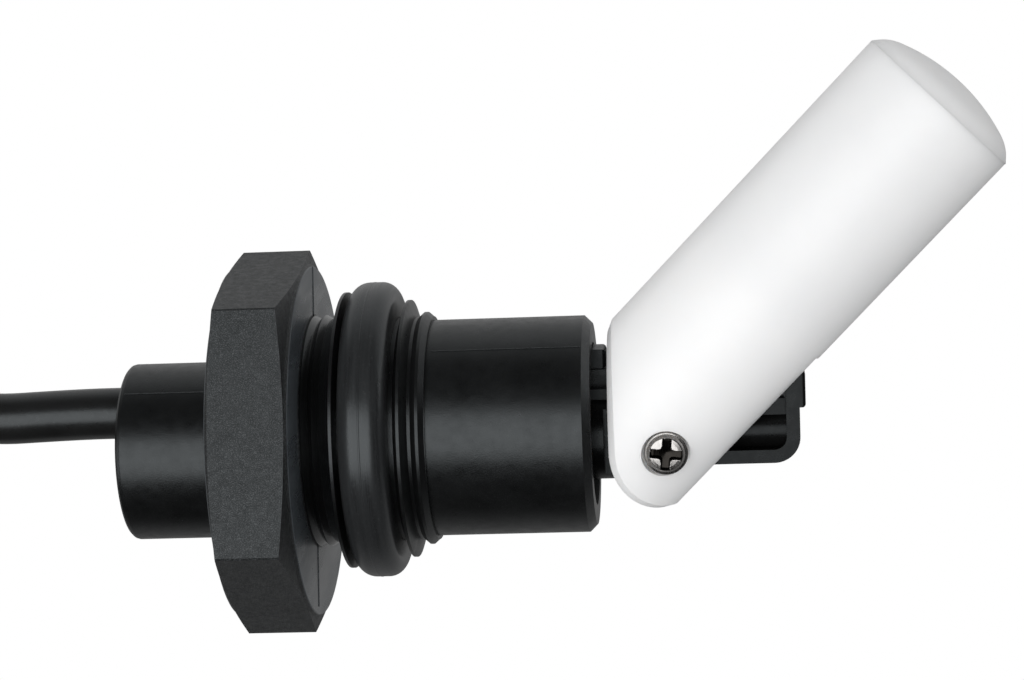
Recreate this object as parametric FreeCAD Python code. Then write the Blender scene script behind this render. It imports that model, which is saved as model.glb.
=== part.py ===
import FreeCAD, Part
import math
import os

from FreeCAD import Vector

# Side mounted float level switch, millimetres.
# The thread axis lies along X and the nose points to +X. +Z is up.
# X = 0 is where the hexagon's corners end. Its round seat, which is tightened against the
# tank wall, stands a little in front of them.
# The float is shown where it hangs with the tank empty, with its cut face on the stop peg.

# General clearances
FIT = 0.05            # pieces that are pushed together by hand
SEAT = 0.25           # float's cut face to stop peg at rest
PAST = 1.0            # how far a cutting shape reaches past what it cuts

# Housing: rear boss, hexagon, neck, thread and barrel
BOSS_R = 10.65
BOSS_LEN = 13.1
BOSS_RISE = 2.0       # the boss stands above the thread axis
BOSS_EDGE = 0.7
HEX_THICK = 8.4       # from X = 0 back to the rear face
HEX_FLAT = 21.3       # from the hexagon's middle to each flat
HEX_LEAN = 67.0       # angle between the normals of a side flat and the next one
HEX_TURN = 16.0       # turn of the hexagon against the float's plane
HEX_RISE = 1.15
HEX_BEVEL = 0.75      # length of the cone that cuts the corners on each face
HEX_STEP = 0.4        # round seat on each face, stepped down to the cone
HEX_EDGE = 0.15
NECK_R = 13.4
THREAD_HIGH = 3.2     # height of the thread's full ridge above the neck
THREAD_PITCH = 2.0
RIDGE_TIP = 0.175     # half width of a ridge at its tip
RIDGE_FOOT = 0.85     # half width of a ridge at its root
COLLAR_GAP = 0.05     # full ridge to sealing ring
COLLAR_FRONT = 0.3    # the full ridge is steep towards the ring
THREAD_GAP = 0.5      # sealing ring to the next ridge
RIDGE_HIGH = [2.05, 0.55]   # heights of the two ridges where the thread runs out
BARREL_R = 12.95
BARREL_LEN = 19.0
NOSE_BEVEL = 0.9
BORE_R = 9.75
BORE_DEPTH = 9.5
PASSAGE_R = 7.2

# Sealing ring
RING_THICK = 4.3      # from the neck to the ring's outside
RING_WIDTH = 5.9
RING_X = 5.6
RING_ROUND = 1.9

# Rear closing and cable
PLUG_R = 8.7
PLUG_LEN = 6.5
PLUG_SUNK = 0.5
CABLE_R = 3.1
CABLE_DROP = 2.85     # the cable leaves below the thread axis
CABLE_IN = 5.5        # length of sheath inside the plug

# Stem
FLANGE_LEN = 4.0
STEM_R = 5.2
STEM_RISE = 1.5
RAIL_HALF = 2.0
RAIL_LOW = 6.95
RAIL_LIP = 0.6
RAIL_SLOT = 1.8
RAIL_WEB = 0.6        # half thickness of the wall left between the rail's two grooves
PEG_LOW = 9.3
PEG_HIGH = 7.0
PEG_HALF = 1.6
PEG_EDGE = 0.5
FRAME_TOP = 4.8
FRAME_LOW = 5.6
FRAME_HALF = 2.7
FRAME_ROOT = 0.6      # how far the round stem reaches into the frame
FRAME_BAR = 1.6
FRAME_ROUND = 3.1
REED_TUBE_R = 2.4
REED_RISE = 1.2
WEB_HALF = 1.5
WEB_HIGH = 0.8
WEB_LOW = 2.75
WEB_THIN = 0.5        # half thickness of the wall that closes the frame
CLIP_WALL = 0.65
CLIP_EDGE = 0.4
CLIP_END_Z = 2.0      # the clip covers the tip from its lower bar up to here

# Pivot
NOSE_GAP = 1.9        # barrel's end to the float's cut face
PIVOT_RISE = 1.6
SCREW_R = 1.5
BUSH_WALL = 0.5
HEAD_R = 2.68
HEAD_HIGH = 1.9
HEAD_ROUND = 0.9
HEAD_GAP = 0.15
RECESS_HALF = 0.62
RECESS_LONG = 1.85
RECESS_DEEP = 1.3
RECESS_TAPER = 0.55   # how much shorter the recess is at its floor
NUT_FLATS = 5.5
NUT_THICK = 2.4

# Float
FLOAT_R = 10.45
FLOAT_LONG = 50.2     # pivot to the end of the tube
FLOAT_SHIFT = 3.75    # float axis to pivot
SWING = 45.5
EAR_GAP = 0.4         # stem to ear on each side
EAR_WALL = 4.5        # fork's side to the seat under the screw's head
EAR_BACK = 6.6        # cut face to pivot
EAR_FORE = 1.65       # middle of the ears' round end, past the pivot and above it, float level
EAR_RISE = 1.2
ROOF_GAP = 0.45       # stem's rail to the fork's roof
TIP_GAP = 0.95        # swing of the stem's tip to the fork's end wall
CUT_BEVEL = 0.8       # edge between the float's skin and its cut face and round end
FLOAT_WALL = 1.6
BULKHEAD = 2.2
CAP_BEVEL = 1.45
CAP_BEVEL_R = 1.2
CAP_DOME = 1.9
DOME_STEPS = 6
CAP_SPIGOT = 2.6
MAGNET_R = 3.0
MAGNET_LEN = 5.0
MAGNET_WALL = 1.1
MAGNET_PLUG = 0.9

# Reed switch and wiring
GLASS_R = 1.0
GLASS_LEN = 9.0
GLASS_WALL = 0.3
GLASS_SEAL = 1.0      # solid ends of the glass
REED_WALL = 0.65      # pivot hole to the room for the reed
REED_BORE_R = 1.3
LEAD_ROOM = 1.2       # room at each end of the glass, where the leads turn
BLADE_R = 0.21
BLADE_HALF = 0.45
BLADE_THICK = 0.14
BLADE_GAP = 0.06
BLADE_LAP = 0.8
PIN_OUT = 0.6
LEAD_R = 0.4
LEAD_SIDE = 0.65
CORE_R = 0.6
CORE_SIDE = 1.6
SLEEVE_R = 1.2
SLEEVE_LEN = 9.0
SLEEVE_X = -6.0
CORE_GRIP = 3.0       # length of core inside its sleeve
LEAD_GRIP = 4.0
LEAD_BEND = 2.0       # straight lead past the sleeve and before the stem
WIRE_DROP = 2.05      # the leads run below the axis to pass the pivot

# Cable outside: route from the plug to the coil, all in the float's plane
ROUTE = [
    (-28.0, -2.85),
    (-42.5, -2.3),
    (-57.5, -7.8),
    (-69.4, -19.9),
    (-75.1, -36.45),
    (-76.2, -49.4),
]
COIL_R = 34.5
COIL_CENTRE = (-113.5, -54.0)
COIL_HALF = 6.5
COIL_CORNER = 2.3     # how far the bundle's corners are cut back
TURN_SIDE = 3.15      # middle of a turn from the middle of the bundle
TIE_WALL = 0.9
TIE_WIDE = 4.6
TIE_HEAD = 5.0
TIE_LOCK = 3.2
TAIL_LONG = 34.0      # sheath below the coil's middle height
END_CORE_R = 0.9
END_CORE_LEN = 16.0
END_SIDE = 1.35
FERRULE_R = 0.75
FERRULE_LEN = 6.0

# Places that follow from the sizes above
THREAD_R = NECK_R + THREAD_HIGH
RING_R = NECK_R + RING_THICK
HEX_SEAT = HEX_STEP + HEX_BEVEL
BOSS_END = -HEX_THICK - BOSS_LEN
PLUG_END = BOSS_END + PLUG_LEN
CABLE_START = BOSS_END + CABLE_IN
RING_END = RING_X + RING_WIDTH
FIRST_RIDGE = RING_END + THREAD_GAP + RIDGE_FOOT
BARREL_START = FIRST_RIDGE + THREAD_PITCH + RIDGE_FOOT
NOSE_X = BARREL_START + BARREL_LEN
SOCKET_X = NOSE_X - BORE_DEPTH - FLANGE_LEN
CUT_X = NOSE_X + NOSE_GAP
PEG_END = CUT_X - SEAT
PIVOT_X = CUT_X + EAR_BACK
BUSH_R = SCREW_R + FIT + BUSH_WALL
PIVOT_HOLE_R = BUSH_R + FIT
FRAME_X = PIVOT_X + PIVOT_HOLE_R + REED_WALL
GLASS_X = FRAME_X + LEAD_ROOM
GLASS_END = GLASS_X + GLASS_LEN
REED_END = GLASS_END + LEAD_ROOM
FRAME_END = REED_END + FRAME_BAR
CLIP_END = FRAME_END + FIT + CLIP_WALL
CLIP_LOW = FRAME_LOW + FIT + CLIP_WALL
FLOAT_AXIS = PIVOT_RISE - FLOAT_SHIFT
STEM_FLAT = FRAME_HALF + FIT + CLIP_WALL
FORK_HALF = STEM_FLAT + EAR_GAP
SWING_A = math.radians(SWING)
EAR_R = EAR_BACK + EAR_FORE * math.cos(SWING_A) + EAR_RISE * math.sin(SWING_A)
SHOULDER_X = PIVOT_X + EAR_FORE - EAR_R - EAR_GAP
FORK_ROOF = PIVOT_RISE + RAIL_LOW + ROOF_GAP
FORK_DEEP = math.hypot(CLIP_END - PIVOT_X, CLIP_LOW + PIVOT_RISE) + TIP_GAP
SEAT_Y = FORK_HALF + EAR_WALL
MAGNET_U = FORK_DEEP + BULKHEAD
NUT_R = NUT_FLATS / 2 / math.cos(math.radians(30))
SPLICE_END = SLEEVE_X + SLEEVE_LEN
COIL_MIDDLE = Vector(COIL_CENTRE[0], 0, COIL_CENTRE[1])
TAIL_X = COIL_CENTRE[0] + COIL_R + TURN_SIDE


def rod(r, x0, x1, z=0.0, y=0.0):
    """Round bar along X."""
    return Part.makeCylinder(r, x1 - x0, Vector(x0, y, z), Vector(1, 0, 0))


def cross_rod(r, y0, y1):
    """Round bar along the pivot's axis."""
    return Part.makeCylinder(r, y1 - y0, Vector(PIVOT_X, y0, PIVOT_RISE), Vector(0, 1, 0))


def block(x0, x1, y0, y1, z0, z1):
    return Part.makeBox(x1 - x0, y1 - y0, z1 - z0, Vector(x0, y0, z0))


def turned(points, z=0.0):
    """Solid of revolution about an axis along X at height z, from (x, r) points."""
    wire = Part.makePolygon([Vector(x, 0, z + r) for x, r in points + points[:1]])
    return Part.Face(wire).revolve(Vector(0, 0, z), Vector(1, 0, 0), 360)


def rounding(x, r, size, toward, steps):
    """Points that round the outer corner (x, r) of a turned section, from its face to its rim."""
    spots = []
    for k in range(steps + 1):
        a = math.radians(90 * k / steps)
        spots.append((x + toward * size * (1 - math.cos(a)), r - size * (1 - math.sin(a))))
    return spots


def plate(points, half):
    """Plate across Y, from (x, z) corners."""
    wire = Part.makePolygon([Vector(x, -half, z) for x, z in points + points[:1]])
    return Part.Face(wire).extrude(Vector(0, 2 * half, 0))


def join(shapes):
    whole = shapes[0]
    for other in shapes[1:]:
        whole = whole.fuse(other)
    return whole.removeSplitter()


def save(name, shape):
    shape = shape.Solids[0] if len(shape.Solids) == 1 else shape
    shape.exportStep("parts/" + name + ".step")
    print(name, "solids", len(shape.Solids), "volume", round(shape.Volume, 3), shape.isValid())


def hexagon():
    """Hexagon with flats at one distance from its middle, round seats and corners cut back."""
    corners = []
    near = HEX_FLAT * math.tan(math.radians(HEX_LEAN / 2))
    top = HEX_FLAT / math.sin(math.radians(HEX_LEAN))
    for y, z in [(HEX_FLAT, near), (0, top), (-HEX_FLAT, near),
                 (-HEX_FLAT, -near), (0, -top), (HEX_FLAT, -near)]:
        corners.append(Vector(-HEX_THICK, y, z))
    outline = Part.Face(Part.makePolygon(corners + corners[:1]))
    body = outline.extrude(Vector(HEX_THICK + HEX_SEAT, 0, 0))
    edges = [e for e in body.Edges if abs(e.Vertexes[0].X - e.Vertexes[1].X) > HEX_THICK / 2]
    body = body.makeChamfer(HEX_EDGE, edges)
    corner_r = math.hypot(HEX_FLAT, near)
    seat_r = HEX_FLAT - HEX_STEP
    envelope = turned([(-HEX_THICK, 0), (-HEX_THICK, seat_r), (-HEX_THICK + HEX_STEP, HEX_FLAT),
                       (-HEX_THICK + HEX_SEAT, corner_r), (0, corner_r), (HEX_BEVEL, HEX_FLAT),
                       (HEX_SEAT, seat_r), (HEX_SEAT, 0)])
    body = body.common(envelope)
    body.rotate(Vector(0, 0, 0), Vector(1, 0, 0), -HEX_TURN)
    body.translate(Vector(0, 0, HEX_RISE))
    return body


def ridge(x, tip_r, front):
    """One ridge of the thread, with a narrow flat tip, set a little into the neck."""
    root_r = NECK_R - FIT
    return turned([(x - RIDGE_FOOT, 0), (x - RIDGE_FOOT, root_r), (x - RIDGE_TIP, tip_r),
                   (x + RIDGE_TIP, tip_r), (x + front, root_r), (x + front, 0)])


def housing():
    rim = rounding(BOSS_END, BOSS_R, BOSS_EDGE, 1, 3)
    boss = turned([(BOSS_END, 0)] + rim + [(0, BOSS_R), (0, 0)], BOSS_RISE)
    neck = rod(NECK_R, 0, BARREL_START)
    barrel = rod(BARREL_R, BARREL_START - PAST, NOSE_X)
    nose = [e for e in barrel.Edges if abs(e.BoundBox.XMin - NOSE_X) < FIT]
    barrel = barrel.makeChamfer(NOSE_BEVEL, nose)
    ridges = [ridge(RING_X - COLLAR_GAP - COLLAR_FRONT, THREAD_R, COLLAR_FRONT)]
    for step, high in enumerate(RIDGE_HIGH):
        ridges.append(ridge(FIRST_RIDGE + step * THREAD_PITCH, NECK_R + high, RIDGE_FOOT))
    body = join([boss, hexagon(), neck, barrel] + ridges)
    body = body.cut(rod(BORE_R, SOCKET_X, NOSE_X + PAST))
    body = body.cut(rod(PASSAGE_R, PLUG_END, SOCKET_X + PAST))
    return body.cut(rod(PLUG_R, BOSS_END - PAST, PLUG_END, BOSS_RISE))


def sealing_ring():
    """Rubber ring of rounded square section."""
    inner_r = NECK_R + FIT
    rear = rounding(RING_X, RING_R, RING_ROUND, 1, 4)
    front = rounding(RING_END, RING_R, RING_ROUND, -1, 4)
    return turned([(RING_X, inner_r)] + rear + front[::-1] + [(RING_END, inner_r)])


def frame_plate(inset, half):
    """Plate with the outline of the stem's tip, its far corners rounded."""
    end = FRAME_END - inset
    shape = plate([(FRAME_X + inset, -FRAME_LOW + inset), (end, -FRAME_LOW + inset),
                   (end, FRAME_TOP - inset), (FRAME_X + inset, FRAME_TOP - inset)], half)
    corners = [e for e in shape.Edges if e.BoundBox.XMin > end - FIT and e.BoundBox.YLength > half]
    return shape.makeFillet(FRAME_ROUND - inset, corners)


def tip_frame():
    """Closed frame at the stem's tip, with the reed tube and a web inside it."""
    frame = frame_plate(0, FRAME_HALF).cut(frame_plate(FRAME_BAR, FRAME_HALF + PAST))
    inside = FRAME_END - FRAME_BAR / 2
    tube = rod(REED_TUBE_R, FRAME_X, inside, REED_RISE)
    web = block(FRAME_X, inside, -WEB_HALF, WEB_HALF, -WEB_LOW, -WEB_HIGH)
    wall = block(FRAME_X, inside, -WEB_THIN, WEB_THIN, -FRAME_LOW + FRAME_BAR / 2, -WEB_HIGH)
    return [frame, tube, web, wall]


def wire_room():
    """Passage for the leads, and the bore for the reed glass."""
    side = LEAD_SIDE + LEAD_R + FIT
    run = block(SOCKET_X - PAST, REED_END, -side, side,
                -WIRE_DROP - LEAD_R - FIT, -WIRE_DROP + LEAD_R + FIT)
    reed = rod(REED_BORE_R, FRAME_X, REED_END, REED_RISE)
    rooms = [run, reed]
    for x in (FRAME_X, GLASS_END):
        rooms.append(block(x, x + LEAD_ROOM, -side, side, -WIRE_DROP, REED_RISE))
    return rooms


def stem():
    """Stem with mounting flange, stop peg, grooved rail and framed tip, flat between the ears."""
    flange = rod(BORE_R - FIT, SOCKET_X, SOCKET_X + FLANGE_LEN)
    root = FRAME_X + FRAME_ROOT
    body = rod(STEM_R, SOCKET_X, root, STEM_RISE)
    for y in (STEM_FLAT, -2 * STEM_R):
        body = body.cut(block(SHOULDER_X, root + PAST, y, y + 2 * STEM_R - STEM_FLAT,
                              -2 * STEM_R, 2 * STEM_R))
    rail = block(SOCKET_X, FRAME_X + FRAME_BAR, -RAIL_HALF, RAIL_HALF, -RAIL_LOW, 0)
    slot = block(SOCKET_X + FLANGE_LEN, FRAME_X, -STEM_R, STEM_R,
                 -RAIL_LOW + RAIL_LIP, -RAIL_LOW + RAIL_LIP + RAIL_SLOT)
    slot = slot.cut(block(SOCKET_X, PIVOT_X, -RAIL_WEB, RAIL_WEB, -RAIL_LOW, 0))
    peg = block(SOCKET_X, PEG_END, -PEG_HALF, PEG_HALF, -PEG_LOW, -PEG_HIGH)
    nose = [e for e in peg.Edges if e.BoundBox.XMin > PEG_END - FIT]
    peg = peg.makeFillet(PEG_EDGE, nose)
    whole = join([flange, body, rail.cut(slot), peg] + tip_frame())
    for room in wire_room():
        whole = whole.cut(room)
    return whole.cut(cross_rod(PIVOT_HOLE_R, -STEM_R - PAST, STEM_R + PAST))


def tip_clip():
    """Small cap pushed over the corner of the stem's tip."""
    wide = FRAME_HALF + FIT + CLIP_WALL
    inside = FRAME_END - FRAME_BAR
    shell = block(inside, CLIP_END, -wide, wide, -CLIP_LOW, -CLIP_END_Z)
    outer = [e for e in shell.Edges if e.BoundBox.XMin > CLIP_END - FIT]
    shell = shell.makeFillet(CLIP_EDGE, outer)
    room = block(inside - PAST, FRAME_END + FIT, -FRAME_HALF - FIT, FRAME_HALF + FIT,
                 -FRAME_LOW - FIT, 0)
    return shell.cut(room)


def pivot_bush():
    outer = cross_rod(BUSH_R, -STEM_FLAT, STEM_FLAT)
    return outer.cut(cross_rod(SCREW_R + FIT, -STEM_R - PAST, STEM_R + PAST))


def recess_wing(turn):
    """One bar of the cross recess, narrower at its floor."""
    top_y = SEAT_Y + HEAD_HIGH
    floor = RECESS_LONG - RECESS_TAPER
    corners = [(-floor, top_y - RECESS_DEEP), (floor, top_y - RECESS_DEEP),
               (RECESS_LONG, top_y), (-RECESS_LONG, top_y)]
    points = [Vector(PIVOT_X + x, y, PIVOT_RISE - RECESS_HALF) for x, y in corners]
    wing = Part.Face(Part.makePolygon(points + points[:1])).extrude(Vector(0, 0, 2 * RECESS_HALF))
    wing.rotate(Vector(PIVOT_X, 0, PIVOT_RISE), Vector(0, 1, 0), turn)
    return wing


def pivot_screw():
    """Pan head screw with a cross recess. It turns with the float."""
    head = cross_rod(HEAD_R, SEAT_Y, SEAT_Y + HEAD_HIGH)
    top = [e for e in head.Edges if e.BoundBox.YMin > SEAT_Y + HEAD_HIGH - FIT]
    head = head.makeFillet(HEAD_ROUND, top)
    for turn in (0, 90):
        head = head.cut(recess_wing(turn))
    return head.fuse(cross_rod(SCREW_R, -SEAT_Y, SEAT_Y)).removeSplitter()


def pivot_nut():
    """Hexagon nut in the pocket of the far ear."""
    points = []
    for k in range(6):
        a = math.radians(60 * k)
        points.append((PIVOT_X + NUT_R * math.cos(a), PIVOT_RISE + NUT_R * math.sin(a)))
    nut = plate(points, NUT_THICK / 2)
    nut.translate(Vector(0, -SEAT_Y + NUT_THICK / 2, 0))
    return nut.cut(cross_rod(SCREW_R, -SEAT_Y - PAST, 0))


def float_rod(r, u0, u1):
    """Round bar on the float's own axis, from u0 to u1 past the pivot."""
    return rod(r, PIVOT_X + u0, PIVOT_X + u1, FLOAT_AXIS)


def ear_point(degrees, y):
    """Spot on the ears' round end, with the float level."""
    a = math.radians(degrees)
    return Vector(PIVOT_X + EAR_FORE + EAR_R * math.cos(a), y,
                  PIVOT_RISE + EAR_RISE - EAR_R * math.sin(a))


def ear_profile():
    """The float seen along the pivot, level: round ears and the slanting cut face."""
    y = -FLOAT_R - PAST
    high = FLOAT_SHIFT + FLOAT_R + PAST
    cut = 180 - SWING
    start = ear_point(cut, y)
    end = ear_point(270, y)
    back = (high * math.sin(SWING_A) - EAR_BACK) / math.cos(SWING_A)
    corner = Vector(PIVOT_X + back, y, PIVOT_RISE - high)
    far = PIVOT_X + FLOAT_LONG
    points = [end, Vector(far, y, end.z), Vector(far, y, corner.z), corner, start]
    edges = [Part.Arc(start, ear_point((cut + 270) / 2, y), end).toShape()]
    for p, q in zip(points, points[1:]):
        edges.append(Part.LineSegment(p, q).toShape())
    return Part.Face(Part.Wire(edges)).extrude(Vector(0, -2 * y, 0))


def soft_cut(body):
    """Cut back the edge between the float's skin and its cut face."""
    middle = Vector(PIVOT_X, 0, PIVOT_RISE)
    slant = Vector(-math.cos(SWING_A), 0, -math.sin(SWING_A))
    edges = []
    for edge in body.Edges:
        ends = [edge.valueAt(edge.FirstParameter), edge.valueAt(edge.LastParameter)]
        on_cut = all(abs((p - middle).dot(slant) - EAR_BACK) < FIT for p in ends)
        if on_cut and edge.Curve.TypeId != "Part::GeomLine":
            edges.append(edge)
    return body.makeChamfer(CUT_BEVEL, edges)


def fork_room():
    """Room for the stem between the ears over the whole swing."""
    top = PIVOT_RISE - FORK_ROOF
    reach = FLOAT_R + FLOAT_SHIFT
    back = PIVOT_X - 2 * EAR_R
    level = block(back, PIVOT_X + FORK_DEEP, -FORK_HALF, FORK_HALF, top, PIVOT_RISE + reach)
    hung = block(back, PIVOT_X, -FORK_HALF, FORK_HALF, top, PIVOT_RISE + FORK_ROOF)
    hung.rotate(Vector(PIVOT_X, 0, PIVOT_RISE), Vector(0, 1, 0), -SWING)
    return level.fuse(hung).fuse(cross_rod(FORK_ROOF, -FORK_HALF, FORK_HALF))


def hang(shape):
    """Turn a float piece from level to where it hangs."""
    shape.rotate(Vector(PIVOT_X, 0, PIVOT_RISE), Vector(0, 1, 0), SWING)
    return shape


def float_shell():
    """Tube with a bulkhead, magnet cup, and a fork that straddles the stem."""
    body = soft_cut(float_rod(FLOAT_R, -2 * EAR_R, FLOAT_LONG).common(ear_profile()))
    body = body.cut(fork_room())
    body = body.cut(float_rod(FLOAT_R - FLOAT_WALL, MAGNET_U, FLOAT_LONG + PAST))
    cup_end = MAGNET_U + MAGNET_LEN + MAGNET_PLUG
    inside = PIVOT_X + MAGNET_U
    cup = rod(MAGNET_R + MAGNET_WALL, inside - BULKHEAD / 2, PIVOT_X + cup_end, PIVOT_RISE)
    body = body.fuse(cup).removeSplitter()
    body = body.cut(rod(MAGNET_R + FIT, inside, PIVOT_X + cup_end + PAST, PIVOT_RISE))
    body = body.cut(cross_rod(SCREW_R + FIT, -FLOAT_R, FLOAT_R))
    body = body.cut(cross_rod(HEAD_R + HEAD_GAP, SEAT_Y, FLOAT_R + PAST))
    body = body.cut(cross_rod(NUT_R + FIT, -FLOAT_R - PAST, -SEAT_Y + NUT_THICK))
    return hang(body)


def float_end_cap():
    """Domed cap with a spigot inside the float's tube."""
    end = PIVOT_X + FLOAT_LONG
    flat_r = FLOAT_R - CAP_BEVEL_R
    spigot_r = FLOAT_R - FLOAT_WALL - FIT
    top = end + CAP_BEVEL
    dome_r = (flat_r ** 2 + CAP_DOME ** 2) / (2 * CAP_DOME)
    half = math.asin(flat_r / dome_r)
    spots = [(end - CAP_SPIGOT, 0), (end - CAP_SPIGOT, spigot_r), (end, spigot_r), (end, FLOAT_R)]
    for k in range(DOME_STEPS + 1):
        a = half * (1 - k / DOME_STEPS)
        spots.append((top + CAP_DOME - dome_r * (1 - math.cos(a)), dome_r * math.sin(a)))
    return hang(turned(spots, FLOAT_AXIS))


def magnet_parts():
    """Magnet in its cup, on the pivot's level, and the plug that closes the cup."""
    x0 = PIVOT_X + MAGNET_U
    x1 = x0 + MAGNET_LEN
    magnet = hang(rod(MAGNET_R, x0, x1, PIVOT_RISE))
    plug = hang(rod(MAGNET_R, x1, x1 + MAGNET_PLUG, PIVOT_RISE))
    return {"float_magnet": magnet, "magnet_plug": plug}


def bent(points, r):
    """Cable along a route: straight runs joined by tangent arcs. Gives length and radii too."""
    edges = []
    radii = []
    start = points[0]
    for i in range(1, len(points) - 1):
        before = points[i] - points[i - 1]
        after = points[i + 1] - points[i]
        turn = before.getAngle(after)
        reach = 0.45 * min(before.Length, after.Length)
        radii.append(reach / math.tan(turn / 2))
        back = Vector(before).normalize()
        ahead = Vector(after).normalize()
        a = points[i] - back * reach
        b = points[i] + ahead * reach
        inward = (ahead - back).normalize()
        mid = points[i] + inward * (radii[-1] / math.cos(turn / 2) - radii[-1])
        edges.append(Part.LineSegment(start, a).toShape())
        edges.append(Part.Arc(a, mid, b).toShape())
        start = b
    edges.append(Part.LineSegment(start, points[-1]).toShape())
    path = Part.Wire(edges)
    ring = Part.Wire(Part.makeCircle(r, points[0], Vector(points[1] - points[0])))
    return path.makePipeShell([ring], True, True), path.Length, radii


def cable_run():
    points = [Vector(CABLE_START, 0, -CABLE_DROP)] + [Vector(x, 0, z) for x, z in ROUTE]
    tube, length, radii = bent(points, CABLE_R)
    share = tube.Volume / (math.pi * CABLE_R ** 2 * length)
    print("cable run length", round(length, 1), "radii", [round(v, 1) for v in radii],
          "volume share", round(share, 4))
    return tube.cut(cable_coil())


def coil_ring(grow, sweep):
    """Ring of the bundle's cut square section, grown all round by a wall or clearance."""
    half = COIL_HALF + grow
    flat = half - COIL_CORNER
    spots = [(half, flat), (flat, half), (-flat, half), (-half, flat),
             (-half, -flat), (-flat, -half), (flat, -half), (half, -flat)]
    points = [COIL_MIDDLE + Vector(COIL_R + u, y, 0) for u, y in spots]
    section = Part.Face(Part.makePolygon(points + points[:1]))
    return section.revolve(COIL_MIDDLE, Vector(0, 1, 0), sweep)


def cable_coil():
    return coil_ring(0, 360)


def cable_tie():
    """Strap round the bundle at the coil's far side, with its lock."""
    sweep = math.degrees(TIE_WIDE / COIL_R)
    band = coil_ring(FIT + TIE_WALL, sweep).cut(coil_ring(FIT, 360))
    band.rotate(COIL_MIDDLE, Vector(0, 1, 0), 180 - sweep / 2)
    out = COIL_CENTRE[0] - COIL_R - COIL_HALF - TIE_WALL
    lock = block(out - TIE_LOCK, out + TIE_WALL / 2, -TIE_HEAD / 2, TIE_HEAD / 2,
                 COIL_CENTRE[1] - TIE_HEAD / 2, COIL_CENTRE[1] + TIE_HEAD / 2)
    return band.fuse(lock).removeSplitter()


def hanging_rod(r, y, z0, length):
    return Part.makeCylinder(r, length, Vector(TAIL_X, y, z0 - length), Vector(0, 0, 1))


def potting_plug():
    """Round plug behind the boss, with the cable and its two cores cast in."""
    x0 = BOSS_END + PLUG_SUNK
    plug = rod(PLUG_R - FIT, x0, PLUG_END - FIT, BOSS_RISE)
    plug = plug.cut(rod(CABLE_R + FIT, x0 - PAST, CABLE_START, -CABLE_DROP))
    for side in (-1, 1):
        plug = plug.cut(rod(CORE_R + FIT, CABLE_START - PAST, PLUG_END, -CABLE_DROP, side * CORE_SIDE))
    return plug


def lead(side, last):
    """Lead from the splice to one end of the reed, where it stands up beside the pin."""
    lead_y = side * LEAD_SIDE
    start = Vector(SPLICE_END - LEAD_GRIP, side * CORE_SIDE, -CABLE_DROP)
    points = [start, Vector(SPLICE_END + LEAD_BEND, start.y, start.z),
              Vector(SOCKET_X - LEAD_BEND, lead_y, -WIRE_DROP), Vector(last, lead_y, -WIRE_DROP)]
    path = Part.makePolygon(points)
    ring = Part.Wire(Part.makeCircle(LEAD_R, start, Vector(1, 0, 0)))
    wire = path.makePipeShell([ring], True, False, 1)
    up = Part.makeCylinder(LEAD_R, WIRE_DROP + REED_RISE, Vector(last, lead_y, -WIRE_DROP),
                           Vector(0, 0, 1))
    return wire.fuse(up).removeSplitter()


def splice_parts():
    """Cores of the cable, sleeves over the joints and leads to the reed, one set on each side."""
    made = {}
    pins = {"a": GLASS_X - LEAD_ROOM / 2, "b": GLASS_END + LEAD_ROOM / 2}
    for name, side in (("a", 1), ("b", -1)):
        y = side * CORE_SIDE
        made["core_" + name] = rod(CORE_R, CABLE_START, SLEEVE_X + CORE_GRIP, -CABLE_DROP, y)
        sleeve = rod(SLEEVE_R, SLEEVE_X, SPLICE_END, -CABLE_DROP, y)
        sleeve = sleeve.cut(rod(CORE_R, SLEEVE_X - PAST, SLEEVE_X + CORE_GRIP, -CABLE_DROP, y))
        sleeve = sleeve.cut(rod(LEAD_R, SPLICE_END - LEAD_GRIP, SPLICE_END + PAST, -CABLE_DROP, y))
        made["splice_sleeve_" + name] = sleeve
        made["reed_lead_" + name] = lead(side, pins[name])
    return made


def reed_glass():
    """Glass tube with solid ends that hold the two pins."""
    tube = rod(GLASS_R, GLASS_X, GLASS_END, REED_RISE)
    tube = tube.cut(rod(GLASS_R - GLASS_WALL, GLASS_X + GLASS_SEAL, GLASS_END - GLASS_SEAL, REED_RISE))
    return tube.cut(rod(BLADE_R, GLASS_X - PAST, GLASS_END + PAST, REED_RISE))


def reed_blades():
    """Two springy blades that overlap in the middle of the glass with a narrow gap."""
    mid = (GLASS_X + GLASS_END) / 2
    made = {}
    for name, way in (("a", 1), ("b", -1)):
        outside = mid - way * (GLASS_LEN / 2 + PIN_OUT)
        inside = mid - way * (GLASS_LEN / 2 - GLASS_SEAL)
        tip = mid + way * BLADE_LAP
        z0, z1 = sorted((REED_RISE + way * BLADE_GAP, REED_RISE + way * (BLADE_GAP + BLADE_THICK)))
        pin = rod(BLADE_R, min(outside, inside), max(outside, inside), REED_RISE)
        blade = block(min(inside, tip), max(inside, tip), -BLADE_HALF, BLADE_HALF, z0, z1)
        made["reed_blade_" + name] = pin.fuse(blade).removeSplitter()
    return made


def cable_tail():
    """Last of the sheath, hanging from the outer turn on the near side."""
    return hanging_rod(CABLE_R, TURN_SIDE, COIL_CENTRE[1], TAIL_LONG).cut(cable_coil())


def end_cores():
    """The two bare cores at the cable's end, each with a crimped sleeve."""
    made = {}
    z = COIL_CENTRE[1] - TAIL_LONG
    for name, side in (("a", 1), ("b", -1)):
        y = TURN_SIDE + side * END_SIDE
        made["end_core_" + name] = hanging_rod(END_CORE_R, y, z, END_CORE_LEN)
        made["end_sleeve_" + name] = hanging_rod(FERRULE_R, y, z - END_CORE_LEN, FERRULE_LEN)
    return made


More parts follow.
